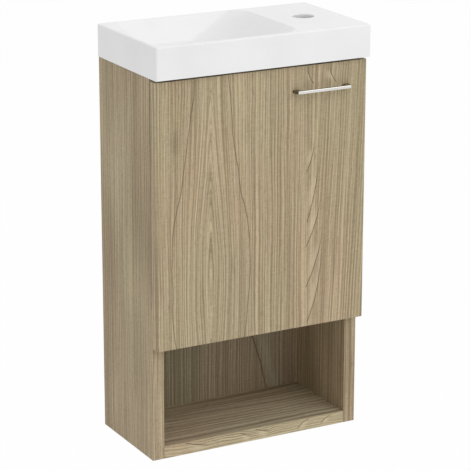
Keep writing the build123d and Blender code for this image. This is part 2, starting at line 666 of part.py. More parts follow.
def bar_between(start, end, width):
    """A flat bar with round ends, seen in plan."""
    run_x = end[0] - start[0]
    run_y = end[1] - start[1]
    middle = Pos((start[0] + end[0]) / 2, (start[1] + end[1]) / 2)
    turn = Rot(0, 0, math.degrees(math.atan2(run_y, run_x)))
    return middle * turn * SlotCenterToCenter(math.hypot(run_x, run_y), width)


def disc(place, radius):
    """A round outline at a place in plan."""
    return Pos(*place) * Circle(radius)


def layer(outline, low_z, high_z):
    """An outline in plan made solid between two heights."""
    return Pos(0, 0, low_z) * extrude(outline, high_z - low_z)


def cup_screw_places():
    """The two screws of a cup, as heights above and below its middle."""
    return (-CUP_SCREW_SPACING / 2, CUP_SCREW_SPACING / 2)


def cup_door_cuts():
    """What one cup takes out of the door: its recess and two screw holes."""
    recess_floor_y = DOOR_BACK_Y - CUP_DEPTH - HOLE_AIR
    screw_floor_y = DOOR_BACK_Y - CUP_SCREW_GRIP - HOLE_AIR
    recess = rod_y(CUP_X, recess_floor_y, DOOR_BACK_Y, 0, CUP_RADIUS + HOLE_AIR)
    holes = [
        rod_y(CUP_SCREW_X, screw_floor_y, DOOR_BACK_Y, z, CUP_SCREW_RADIUS)
        for z in cup_screw_places()
    ]
    return [recess] + holes


def cup_pin_half_length(place):
    """Half the length of a pin that ends inside the wall of the round cup."""
    reach = CUP_RADIUS - CUP_WALL / 4
    outermost = abs(place[0] - CUP_X) + CUP_PIN_RADIUS
    return math.sqrt(reach ** 2 - outermost ** 2)


def make_cup_pins():
    """One through pin for the inner link and two stub pins for the outer link."""
    inner = hinge_place(INNER_LINK_CUP_PIN)
    outer = hinge_place(OUTER_LINK_CUP_PIN)
    inner_end = cup_pin_half_length(inner)
    outer_end = cup_pin_half_length(outer)
    stub_start = (INNER_LINK_HALF_HEIGHT + OUTER_LINK_LOW) / 2
    return [
        rod_z(*inner, -inner_end, inner_end, CUP_PIN_RADIUS),
        rod_z(*outer, stub_start, outer_end, CUP_PIN_RADIUS),
        rod_z(*outer, -outer_end, -stub_start, CUP_PIN_RADIUS),
    ]


def make_hinge_cup():
    """The round cup let into the door, with its screw ears and pin holes."""
    cup = rod_y(CUP_X, DOOR_BACK_Y - CUP_DEPTH, DOOR_BACK_Y, 0, CUP_RADIUS)
    cup = fillet(cup.edges().group_by(Axis.Y)[0], CUP_WALL)
    rim = rod_y(CUP_X, DOOR_BACK_Y, DOOR_BACK_Y + CUP_RIM, 0, CUP_RIM_RADIUS)
    ear_plane = Plane(origin=(CUP_SCREW_X, DOOR_BACK_Y, 0), x_dir=(0, 0, 1), z_dir=(0, 1, 0))
    ears = extrude(ear_plane * SlotCenterToCenter(CUP_SCREW_SPACING, 2 * CUP_EAR_RADIUS), CUP_RIM)
    floor_y = DOOR_BACK_Y - CUP_DEPTH + CUP_WALL
    hollow = rod_y(CUP_X, floor_y, DOOR_BACK_Y + CUP_RIM, 0, CUP_RADIUS - CUP_WALL)
    holes = [
        rod_y(CUP_SCREW_X, DOOR_BACK_Y, DOOR_BACK_Y + CUP_RIM, z, CUP_SCREW_RADIUS + HOLE_AIR)
        for z in cup_screw_places()
    ]
    return cut(cup + rim + ears, [hollow] + holes + make_cup_pins())


def make_cup_screw(z):
    """A wood screw through one ear of the cup."""
    seat_y = DOOR_BACK_Y + CUP_RIM
    shank = rod_y(CUP_SCREW_X, DOOR_BACK_Y - CUP_SCREW_GRIP, seat_y, z, CUP_SCREW_RADIUS)
    head = rod_y(CUP_SCREW_X, seat_y, seat_y + CUP_SCREW_HEAD, z, CUP_SCREW_HEAD_RADIUS)
    return shank + head


def make_outer_link():
    """Two bent plates on a sleeve: the outer link turns on the arm's rear pin."""
    arm_pin = hinge_place(OUTER_LINK_ARM_PIN)
    elbow = hinge_place(OUTER_LINK_ELBOW)
    cup_pin = hinge_place(OUTER_LINK_CUP_PIN)
    plate = bar_between(arm_pin, elbow, LINK_THICKNESS) + bar_between(elbow, cup_pin, LINK_THICKNESS)
    plate = plate + disc(arm_pin, ARM_EYE_RADIUS) + disc(cup_pin, CUP_EYE_RADIUS)
    link = layer(plate, OUTER_LINK_LOW, OUTER_LINK_HIGH)
    link = link + layer(plate, -OUTER_LINK_HIGH, -OUTER_LINK_LOW)
    link = link + layer(disc(arm_pin, ARM_EYE_RADIUS), -OUTER_LINK_LOW, OUTER_LINK_LOW)
    bores = [
        rod_z(*arm_pin, -OUTER_LINK_HIGH, OUTER_LINK_HIGH, ARM_PIN_RADIUS + PIN_AIR),
        rod_z(*cup_pin, -OUTER_LINK_HIGH, OUTER_LINK_HIGH, CUP_PIN_RADIUS + PIN_AIR),
    ]
    return cut(link, bores)


def make_inner_link():
    """One bent plate between the outer link's plates, with a loose eye on the cup pin."""
    arm_pin = hinge_place(INNER_LINK_ARM_PIN)
    elbow = hinge_place(INNER_LINK_ELBOW)
    eye = hinge_place(INNER_LINK_EYE)
    loose_radius = CUP_PIN_RADIUS + LOOSE_EYE_PLAY + PIN_AIR
    plate = bar_between(arm_pin, elbow, LINK_THICKNESS) + bar_between(elbow, eye, LINK_THICKNESS)
    plate = plate + disc(arm_pin, ARM_EYE_RADIUS) + disc(eye, loose_radius + LOOSE_EYE_WALL)
    link = layer(plate, -INNER_LINK_HALF_HEIGHT, INNER_LINK_HALF_HEIGHT)
    bores = [
        rod_z(*arm_pin, -INNER_LINK_HALF_HEIGHT, INNER_LINK_HALF_HEIGHT, ARM_PIN_RADIUS + PIN_AIR),
        rod_z(*eye, -INNER_LINK_HALF_HEIGHT, INNER_LINK_HALF_HEIGHT, loose_radius),
    ]
    return cut(link, bores)


def make_arm_pins():
    """The two pins that the links turn on in the arm."""
    return [
        rod_z(*hinge_place(offset), -ARM_CHEEK_HIGH, ARM_CHEEK_HIGH, ARM_PIN_RADIUS)
        for offset in (OUTER_LINK_ARM_PIN, INNER_LINK_ARM_PIN)
    ]


def make_hinge_arm():
    """A folded steel channel: two cheeks that hold the pins and a web on the plate."""
    web_top = RIDGE_TOP + ARM_WEB
    rear_out, rear_back = OUTER_LINK_ARM_PIN
    nose_out, nose_back = INNER_LINK_ARM_PIN
    cheek_points = [
        (RIDGE_TOP - CHEEK_DROP, ARM_BACK),
        (RIDGE_TOP - CHEEK_DROP, rear_back),
        (nose_out - CHEEK_MARGIN, nose_back - CHEEK_MARGIN),
        (nose_out + CHEEK_MARGIN, nose_back - CHEEK_MARGIN),
        (rear_out + CHEEK_MARGIN, rear_back),
        (rear_out + CHEEK_MARGIN, rear_back + CHEEK_MARGIN),
        (web_top, ARM_NECK_BACK),
        (web_top, ARM_BACK),
    ]
    outline = make_face(Polyline(*[hinge_place(point) for point in cheek_points], close=True))
    outline = fillet(outline.vertices(), CHEEK_ROUND)
    arm = layer(outline, ARM_CHEEK_LOW, ARM_CHEEK_HIGH)
    arm = arm + layer(outline, -ARM_CHEEK_HIGH, -ARM_CHEEK_LOW)
    arm = arm + block(
        PANEL_FACE_X + RIDGE_TOP, PANEL_FACE_X + web_top,
        FRONT_Y + ARM_NECK_BACK + CHEEK_ROUND, FRONT_Y + ARM_BACK - CHEEK_ROUND,
        -ARM_CHEEK_LOW, ARM_CHEEK_LOW,
    )
    screw_hole = rod_x(
        PANEL_FACE_X + RIDGE_TOP, PANEL_FACE_X + web_top,
        FRONT_Y + ARM_SCREW_BACK, 0, ARM_SCREW_RADIUS + HOLE_AIR,
    )
    return cut(arm, [screw_hole] + make_arm_pins())


def plate_screw_places():
    """The two screws of a mounting plate, as heights above and below its middle."""
    return (-PLATE_SCREW_SPACING / 2, PLATE_SCREW_SPACING / 2)


def make_mounting_plate():
    """The cross-shaped plate on the side panel, with the ridge that carries the arm."""
    top_x = PANEL_FACE_X + PLATE_THICKNESS
    base = block(
        PANEL_FACE_X, top_x, FRONT_Y + PLATE_FRONT, FRONT_Y + PLATE_BACK,
        -PLATE_HALF_HEIGHT, PLATE_HALF_HEIGHT,
    )
    base = fillet(base.edges().filter_by(Axis.X), PLATE_CORNER)
    wing_half = PLATE_SCREW_SPACING / 2
    wings = block(
        PANEL_FACE_X, top_x, PLATE_SCREW_Y - PLATE_WING_RADIUS, PLATE_SCREW_Y + PLATE_WING_RADIUS,
        -wing_half, wing_half,
    )
    low_end, high_end = [
        rod_x(PANEL_FACE_X, top_x, PLATE_SCREW_Y, z, PLATE_WING_RADIUS) for z in plate_screw_places()
    ]
    ridge = block(
        PANEL_FACE_X, PANEL_FACE_X + RIDGE_TOP,
        FRONT_Y + PLATE_FRONT + RIDGE_FROM_PLATE_FRONT, FRONT_Y + PLATE_BACK,
        -RIDGE_HALF_HEIGHT, RIDGE_HALF_HEIGHT,
    )
    cuts = [
        rod_x(PANEL_FACE_X, top_x, PLATE_SCREW_Y, z, PLATE_SCREW_RADIUS + HOLE_AIR)
        for z in plate_screw_places()
    ]
    cuts.append(arm_screw_hole())
    return cut(base + wings + low_end + high_end + ridge, cuts)


def arm_screw_hole():
    """The threaded hole in the ridge for the arm's screw."""
    top_x = PANEL_FACE_X + RIDGE_TOP
    return rod_x(top_x - ARM_SCREW_GRIP - HOLE_AIR, top_x, FRONT_Y + ARM_SCREW_BACK, 0, ARM_SCREW_RADIUS)


def make_arm_screw():
    """The screw that clamps the arm to the ridge."""
    seat_x = PANEL_FACE_X + RIDGE_TOP + ARM_WEB
    end_x = PANEL_FACE_X + RIDGE_TOP - ARM_SCREW_GRIP
    shank = rod_x(end_x, seat_x, FRONT_Y + ARM_SCREW_BACK, 0, ARM_SCREW_RADIUS)
    head = rod_x(seat_x, seat_x + ARM_SCREW_HEAD, FRONT_Y + ARM_SCREW_BACK, 0, ARM_SCREW_HEAD_RADIUS)
    return shank + head


def make_plate_screw(z):
    """A screw through the mounting plate into the side panel."""
    seat_x = PANEL_FACE_X + PLATE_THICKNESS
    shank = rod_x(PANEL_FACE_X - PLATE_SCREW_GRIP, seat_x, PLATE_SCREW_Y, z, PLATE_SCREW_RADIUS)
    head = rod_x(seat_x, seat_x + PLATE_SCREW_HEAD, PLATE_SCREW_Y, z, PLATE_SCREW_HEAD_RADIUS)
    return shank + head


def plate_screw_hole(z):
    """The hole in the left side panel for one mounting plate screw."""
    end_x = PANEL_FACE_X - PLATE_SCREW_GRIP - HOLE_AIR
    return rod_x(end_x, PANEL_FACE_X, PLATE_SCREW_Y, z, PLATE_SCREW_RADIUS)


def at_both_hinges(shapes):
    """The shapes of one hinge, made about height zero, repeated at both hinges."""
    return [Pos(0, 0, hinge_z) * shape for hinge_z in HINGES_Z for shape in shapes]


# Assembly

def make_left_side_panel():
    """The left side panel: a mirrored right one, drilled for the mounting plates."""
    panel = mirror(make_side_panel(), about=Plane.YZ)
    holes = at_both_hinges([plate_screw_hole(z) for z in plate_screw_places()])
    return cut(panel, holes)


def joint_hardware():
    """Every dowel, cam lock and cam bolt of the cabinet, as three lists."""
    dowels, locks, bolts = [], [], []
    for dowel_places, cam_places, cam_axis, _ in JOINTS.values():
        new_dowels, new_locks, new_bolts = board_end_joints(dowel_places, cam_places, cam_axis)
        dowels += mirrored(new_dowels)
        locks += mirrored(new_locks)
        bolts += mirrored(new_bolts)
    return dowels, locks, bolts


def hinge_nodes():
    """The nodes of the two hinges. The four links move, so each has its own node."""
    lower_z, upper_z = HINGES_Z
    return {
        "hinge_mounting_plates": at_both_hinges([make_mounting_plate()]),
        "mounting_plate_screws": at_both_hinges([make_plate_screw(z) for z in plate_screw_places()]),
        "hinge_arms": at_both_hinges([make_hinge_arm()]),
        "hinge_arm_screws": at_both_hinges([make_arm_screw()]),
        "hinge_arm_pins": at_both_hinges(make_arm_pins()),
        "hinge_cups": at_both_hinges([make_hinge_cup()]),
        "hinge_cup_screws": at_both_hinges([make_cup_screw(z) for z in cup_screw_places()]),
        "hinge_cup_pins": at_both_hinges(make_cup_pins()),
        "lower_hinge_outer_link": [Pos(0, 0, lower_z) * make_outer_link()],
        "lower_hinge_inner_link": [Pos(0, 0, lower_z) * make_inner_link()],
        "upper_hinge_outer_link": [Pos(0, 0, upper_z) * make_outer_link()],
        "upper_hinge_inner_link": [Pos(0, 0, upper_z) * make_inner_link()],
    }


def make_nodes():
    """Every named node of the vanity unit, each with its list of solids."""
    dowels, locks, bolts = joint_hardware()
    nodes = {
        "basin": [make_basin()],
        "left_side_panel": [make_left_side_panel()],
        "right_side_panel": [make_side_panel()],
        "base_panel": [make_deep_board("base", 0)],
        "middle_shelf": [make_deep_board("shelf", SHELF_BOTTOM_Z)],
        "niche_back_panel": [make_niche_back_panel()],
        "rear_hanging_rail": [make_rear_rail()],
        "front_top_rail": [make_front_rail()],
        "cupboard_shelf": [make_cupboard_shelf()],
        "shelf_pins": mirrored([make_shelf_pin(y) for y in (PIN_ROW_FRONT_Y, PIN_ROW_BACK_Y)]),
        "dowels": dowels,
        "cam_locks": locks,
        "cam_bolts": bolts,
        "hanger_housings": mirrored([make_hanger_housing()]),
        "hanger_hooks": mirrored([make_hanger_hook()]),
        "hanger_adjusting_screws": mirrored([make_hanger_adjuster()]),
        "hanger_screws": mirrored([make_hanger_screw(y) for y in HANGER_SCREWS_Y]),
        "door_panel": [make_door_panel()],
        "door_handle": [make_handle()],
        "handle_screws": [make_handle_screw(x) for x in HANDLE_SCREWS_X],
        "door_bumpers": [make_door_bumper(z) for z in BUMPERS_Z],
    }
    nodes.update(hinge_nodes())
    return nodes


def write_nodes():
    """Write one STEP file for each node."""
    os.makedirs("parts", exist_ok=True)
    for name, shapes in make_nodes().items():
        lowered = [Pos(0, 0, -ORIGIN_Z) * shape for shape in shapes]
        solids = [solid for shape in lowered for solid in shape.solids()]
        node = solids[0] if len(solids) == 1 else Compound(children=solids)
        node.label = name
        export_step(node, f"parts/{name}.step")


write_nodes()
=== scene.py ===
"""The looks of a wall-hung vanity unit: finishes for its boards, basin and fittings, and a plain studio."""

import json
import math

import bmesh
import bpy
from mathutils import Euler, Matrix, Vector


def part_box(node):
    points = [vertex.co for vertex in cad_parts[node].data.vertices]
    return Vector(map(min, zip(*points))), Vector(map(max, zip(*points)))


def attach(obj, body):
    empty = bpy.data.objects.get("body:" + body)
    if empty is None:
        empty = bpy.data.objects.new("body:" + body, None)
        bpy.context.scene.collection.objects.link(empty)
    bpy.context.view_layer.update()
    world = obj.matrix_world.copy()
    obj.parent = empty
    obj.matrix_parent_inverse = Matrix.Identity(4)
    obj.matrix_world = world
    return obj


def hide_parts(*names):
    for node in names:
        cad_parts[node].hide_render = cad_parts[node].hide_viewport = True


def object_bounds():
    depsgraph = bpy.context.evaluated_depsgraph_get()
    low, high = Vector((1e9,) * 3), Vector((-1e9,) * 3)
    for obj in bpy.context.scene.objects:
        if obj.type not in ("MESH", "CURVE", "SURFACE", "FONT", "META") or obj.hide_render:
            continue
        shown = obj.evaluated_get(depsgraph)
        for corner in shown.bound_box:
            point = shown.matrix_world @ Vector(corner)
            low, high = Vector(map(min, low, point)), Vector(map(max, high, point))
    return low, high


bl_info = {
    "name": "Vanity unit looks",
    "version": (1, 0, 0),
    "blender": (4, 5, 0),
    "location": "3D View > Sidebar > Vanity",
    "description": "Finishes the boards, the basin and the fittings of a vanity unit",
    "category": "Object",
}

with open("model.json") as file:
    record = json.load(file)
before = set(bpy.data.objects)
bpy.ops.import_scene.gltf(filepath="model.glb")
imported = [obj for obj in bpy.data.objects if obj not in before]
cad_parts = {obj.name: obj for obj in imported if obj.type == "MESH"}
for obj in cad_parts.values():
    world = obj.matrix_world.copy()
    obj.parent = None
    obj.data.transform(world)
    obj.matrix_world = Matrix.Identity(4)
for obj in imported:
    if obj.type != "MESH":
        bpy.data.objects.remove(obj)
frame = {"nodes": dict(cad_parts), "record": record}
NODES = frame["nodes"]
CAD_LOW, CAD_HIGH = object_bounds()

# Camera, fitted to the edges in the photograph
CAMERA_PLACE = (-1.728, -3.3155, 1.4432)
CAMERA_TURN = 28.358
CAMERA_DOWN = 16.894
CAMERA_ROLL = 0.06
CAMERA_LENS = 170.54
SENSOR_WIDTH = 36.0

# Grain directions. Each gives how much a step along X, Y or Z counts across the grain,
# so that the stripes run on over a board's rounded edges.
ACROSS_FRONT = (1.0, 0.6, 0.0)
ACROSS_SIDE = (0.9, 0.95, 0.0)
ACROSS_FLAT = (0.0, 0.45, 1.2)
UPRIGHT = (0.0, 0.0, 1.0)
LEFT_TO_RIGHT = (1.0, 0.0, 0.0)

# Screws: for each node, the way from the tip to the head, the shank's radius and the head's height.
# The hanger screws come from both sides, so their heads point to the middle.
SCREWS = {
    "handle_screws": ((0.0, 1.0, 0.0), 0.0015, 0.0016),
    "hinge_cup_screws": ((0.0, 1.0, 0.0), 0.0015, 0.0008),
    "mounting_plate_screws": ((1.0, 0.0, 0.0), 0.0020, 0.0018),
    "hinge_arm_screws": ((1.0, 0.0, 0.0), 0.0019, 0.0016),
    "hanger_adjusting_screws": ((0.0, -1.0, 0.0), 0.0030, 0.0015),
    "hanger_screws": ("to the middle", 0.0020, 0.0020),
}
SCREW_SIDES = 24
THREAD_PITCH = 0.0011
THREAD_DEPTH = 0.18
THREAD_START = 0.0015
RECESS_RIM = 0.62
RECESS_MIDDLE = 0.26
RECESS_DEPTH = 0.62
RECESS_TURN = 37.0

# Figure of the door's veneer print: an arch left of the middle and dark strokes on the right
DOOR_FACE_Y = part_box("door_panel")[0].y
EDGE_STRIP = 0.001
PIN_PERIOD = 0.0058
ARCH_X = -0.097
ARCH_ROUND = 0.004
ARCH_TOP_Z = 0.634
ARCH_TURN = 0.34
ARCH_SPREAD = 0.038
ARCH_VEIN = 0.0355
ARCH_STRIPE_SHARE = 0.5
ARCH_STRIPE_REACH = (0.020, 0.075)
ARCH_PALE_LINES = (0.003, 0.0145)
SMUDGES = ((-0.162, 0.542), (-0.031, 0.548))
NICHE_VEIN_X = 0.0876
NICHE_VEIN_Z = 0.093
NICHE_VEIN_LEAN = 0.28

# Dark strokes of the print. Each has its foot across and along the grain, its height and its lean.
# Those on the door start at a seam in the print, and right of it the grain leans out as it rises.
DOOR_SEAM_X = 0.084
DOOR_LEAN = 0.045
DOOR_MIDDLE_Z = 0.42
DOOR_STROKES = (
    (0.0845, 0.461, 0.060, 0.014),
    (0.0861, 0.375, 0.125, 0.022),
    (0.0843, 0.330, 0.100, 0.028),
    (0.0846, 0.259, 0.115, 0.032),
    (0.0870, 0.195, 0.150, 0.030),
    (0.0964, 0.612, 0.034, -0.013),
    (0.1407, 0.610, 0.032, -0.014),
)
BASE_STROKES = (
    (0.0085, -0.135, 0.050, -0.009),
    (0.0070, -0.030, 0.028, -0.007),
    (0.0095, 0.000, 0.034, -0.008),
    (-0.0050, 0.083, 0.028, 0.014),
    (-0.0040, 0.130, 0.024, 0.012),
)


def printed(red, green, blue):
    """A colour given as the 0 to 255 values of a print, in scene light."""
    return tuple(((part / 255 + 0.055) / 1.055) ** 2.4 for part in (red, green, blue))


class Finish:
    """A material while its nodes are laid out."""

    def __init__(self, name):
        self.material = bpy.data.materials.new(name)
        self.material.use_nodes = True
        self.tree = self.material.node_tree
        self.shader = self.tree.nodes["Principled BSDF"]

    def node(self, kind, **settings):
        """A new node with its settings."""
        made = self.tree.nodes.new(kind)
        for name, value in settings.items():
            setattr(made, name, value)
        return made

    def feed(self, socket, value):
        """Link a socket to another, or set its number, vector or colour."""
        if isinstance(value, bpy.types.NodeSocket):
            self.tree.links.new(value, socket)
        elif isinstance(value, tuple) and socket.type == "RGBA":
            socket.default_value = (*value, 1.0)
        else:
            socket.default_value = value

    def sum_of(self, operation, *values):
        """One Math node over one to three values."""
        made = self.node("ShaderNodeMath", operation=operation)
        for socket, value in zip(made.inputs, values):
            self.feed(socket, value)
        return made.outputs[0]

    def plus(self, first, second):
        return self.sum_of("ADD", first, second)

    def less(self, first, second):
        return self.sum_of("SUBTRACT", first, second)

    def times(self, first, second):
        return self.sum_of("MULTIPLY", first, second)

    def most(self, values):
        """The largest of several values."""
        largest = values[0]
        for value in values[1:]:
            largest = self.sum_of("MAXIMUM", largest, value)
        return largest

    def place(self):
        """The point on the object."""
        return self.node("ShaderNodeTexCoord").outputs["Object"]

    def along(self, direction):
        """How far the point lies along a direction."""
        made = self.node("ShaderNodeVectorMath", operation="DOT_PRODUCT")
        self.feed(made.inputs[0], self.place())
        self.feed(made.inputs[1], direction)
        return made.outputs["Value"]

    def vector(self, x, y, z=0.0):
        """A vector from three values."""
        made = self.node("ShaderNodeCombineXYZ")
        for socket, value in zip(made.inputs, (x, y, z)):
            self.feed(socket, value)
        return made.outputs[0]

    def noise(self, vector, scale=1.0, detail=2.0, roughness=0.5):
        """Soft noise round a half."""
        made = self.node("ShaderNodeTexNoise")
        self.feed(made.inputs["Vector"], vector)
        self.feed(made.inputs["Scale"], scale)
        self.feed(made.inputs["Detail"], detail)
        self.feed(made.inputs["Roughness"], roughness)
        return made.outputs["Fac"]

    def step(self, value, low, high, start=0.0, end=1.0):
        """A smooth step from one value to another."""
        made = self.node("ShaderNodeMapRange", interpolation_type="SMOOTHSTEP")
        for socket, number in zip(made.inputs, (value, low, high, start, end)):
            self.feed(socket, number)
        return made.outputs[0]

    def line(self, value, middle, width):
        """One on a line and none beside it."""
        away = self.sum_of("ABSOLUTE", self.less(value, middle))
        return self.step(away, 0.0, width, 1.0, 0.0)

    def mix(self, share, first, second, blend="MIX"):
        """A colour between two others."""
        made = self.node("ShaderNodeMix", data_type="RGBA", blend_type=blend)
        self.feed(made.inputs[0], share)
        self.feed(made.inputs[6], first)
        self.feed(made.inputs[7], second)
        return made.outputs[2]

    def bump(self, height, depth, strength=1.0):
        """Raise the surface by up to a depth in metres."""
        made = self.node("ShaderNodeBump")
        self.feed(made.inputs["Strength"], strength)
        self.feed(made.inputs["Distance"], depth)
        self.feed(made.inputs["Height"], height)
        self.feed(self.shader.inputs["Normal"], made.outputs["Normal"])

    def surface(self, colour, roughness, **sockets):
        """Set the shader's main sockets."""
        self.feed(self.shader.inputs["Base Color"], colour)
        self.feed(self.shader.inputs["Roughness"], roughness)
        for name, value in sockets.items():
            self.feed(self.shader.inputs[name.replace("_", " ")], value)
        return self.material


def arch_figure(finish):
    """The door's arched figure: distances across its veins and its stripes, and the half the point is on."""
    front = finish.plus(finish.along(ACROSS_FRONT), -ACROSS_FRONT[1] * DOOR_FACE_Y)
    across = finish.less(front, ARCH_X)
    away = finish.sum_of("SQRT", finish.plus(finish.times(across, across), ARCH_ROUND ** 2))
    drop = finish.sum_of("MAXIMUM", finish.less(ARCH_TOP_Z, finish.along(UPRIGHT)), 0.0)
    swing = finish.less(1.0, finish.sum_of("COSINE", finish.times(drop, math.pi / ARCH_TURN)))
    spread = finish.times(swing, ARCH_SPREAD / 2)
    reach = finish.step(away, *ARCH_STRIPE_REACH, ARCH_STRIPE_SHARE, 0.0)
    stripes = finish.less(away, finish.times(spread, reach))
    return finish.less(away, spread), stripes, finish.step(across, -0.04, 0.04)


def strokes(finish, across, along, rows, sway):
    """Dark strokes that lean out from their feet and fade at the top, and the pale wood on their near side."""
    across = finish.plus(across, finish.times(sway, 0.006))
    darks = []
    pales = []
    for foot_across, foot_along, height, lean in rows:
        rise = finish.times(finish.less(along, foot_along), 1 / height)
        left = finish.sum_of("MAXIMUM", finish.less(1.0, rise), 0.0)
        begun = finish.step(rise, -0.02, 0.02)
        leaning = finish.times(finish.less(1.0, finish.times(left, left)), lean)
        beside = finish.less(finish.less(across, foot_across), leaning)
        shown = finish.times(begun, finish.step(left, 0.0, 0.5))
        darks.append(finish.times(finish.line(beside, 0.0, 0.0014), shown))
        near = finish.times(finish.step(beside, -0.016, -0.004), finish.step(beside, -0.002, 0.001, 1.0, 0.0))
        pales.append(finish.times(near, finish.line(rise, 0.4, 0.4)))
    return finish.most(darks), finish.most(pales)


def door_seam(finish):
    """One right of the seam in the door's print, where the grain leans."""
    return finish.step(finish.along(LEFT_TO_RIGHT), DOOR_SEAM_X - 0.001, DOOR_SEAM_X + 0.001)


def door_lean(finish):
    """How far the leaning grain right of the seam has moved aside."""
    share = finish.step(finish.along(LEFT_TO_RIGHT), DOOR_SEAM_X - 0.004, DOOR_SEAM_X + 0.046)
    return finish.times(finish.times(finish.less(finish.along(UPRIGHT), DOOR_MIDDLE_Z), DOOR_LEAN), share)


def smudge(finish, x, z):
    """A soft brown patch on the door, taller than wide."""
    aside = finish.times(finish.less(finish.along(LEFT_TO_RIGHT), x), 1 / 0.012)
    above = finish.times(finish.less(finish.along(UPRIGHT), z), 1 / 0.030)
    away = finish.plus(finish.times(aside, aside), finish.times(above, above))
    return finish.step(away, 0.0, 1.0, 1.0, 0.0)


def niche_vein(finish, sway):
    """A long dark vein that leans across the niche's back, and the pale zone right of it."""
    down = finish.less(NICHE_VEIN_Z, finish.along(UPRIGHT))
    lean = finish.plus(finish.times(down, NICHE_VEIN_LEAN), finish.times(sway, 0.02))
    beside = finish.less(finish.less(finish.along(LEFT_TO_RIGHT), lean), NICHE_VEIN_X)
    return finish.line(beside, 0.0, 0.0022), finish.line(beside, 0.016, 0.015)


def nearness(finish, node, inner, outer):
    """For each axis, how near the point is to the board's two faces on that axis."""
    low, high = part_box(node)
    near = []
    for axis, direction in enumerate(((1, 0, 0), (0, 1, 0), (0, 0, 1))):
        middle = (low[axis] + high[axis]) / 2
        half = (high[axis] - low[axis]) / 2
        away = finish.sum_of("ABSOLUTE", finish.less(finish.along(direction), middle))
        near.append(finish.step(away, half - inner, half - outer))
    return near


def worn_arrises(finish, node):
    """One along the board's rounded edges, where two faces meet."""
    x, y, z = nearness(finish, node, 0.0014, 0.0003)
    pairs = finish.sum_of("MAXIMUM", finish.times(x, y), finish.times(y, z))
    return finish.sum_of("MAXIMUM", pairs, finish.times(x, z))


def band_joint(finish, node, thin):
    """The hairline between a board's face and its edge strip, on its two broad faces."""
    low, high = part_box(node)
    lines = []
    for axis, direction in enumerate(((1, 0, 0), (0, 1, 0), (0, 0, 1))):
        if axis == thin:
            continue
        middle = (low[axis] + high[axis]) / 2
        half = (high[axis] - low[axis]) / 2
        away = finish.sum_of("ABSOLUTE", finish.less(finish.along(direction), middle))
        lines.append(finish.line(away, half - EDGE_STRIP, 0.00025))
    return finish.sum_of("MAXIMUM", *lines)


def edge_strip(finish, node, thin):
    """One on the board's edge strips, which are cut from another length of the print."""
    near = nearness(finish, node, 0.0011, 0.0009)
    near.pop(thin)
    return finish.sum_of("MAXIMUM", *near)


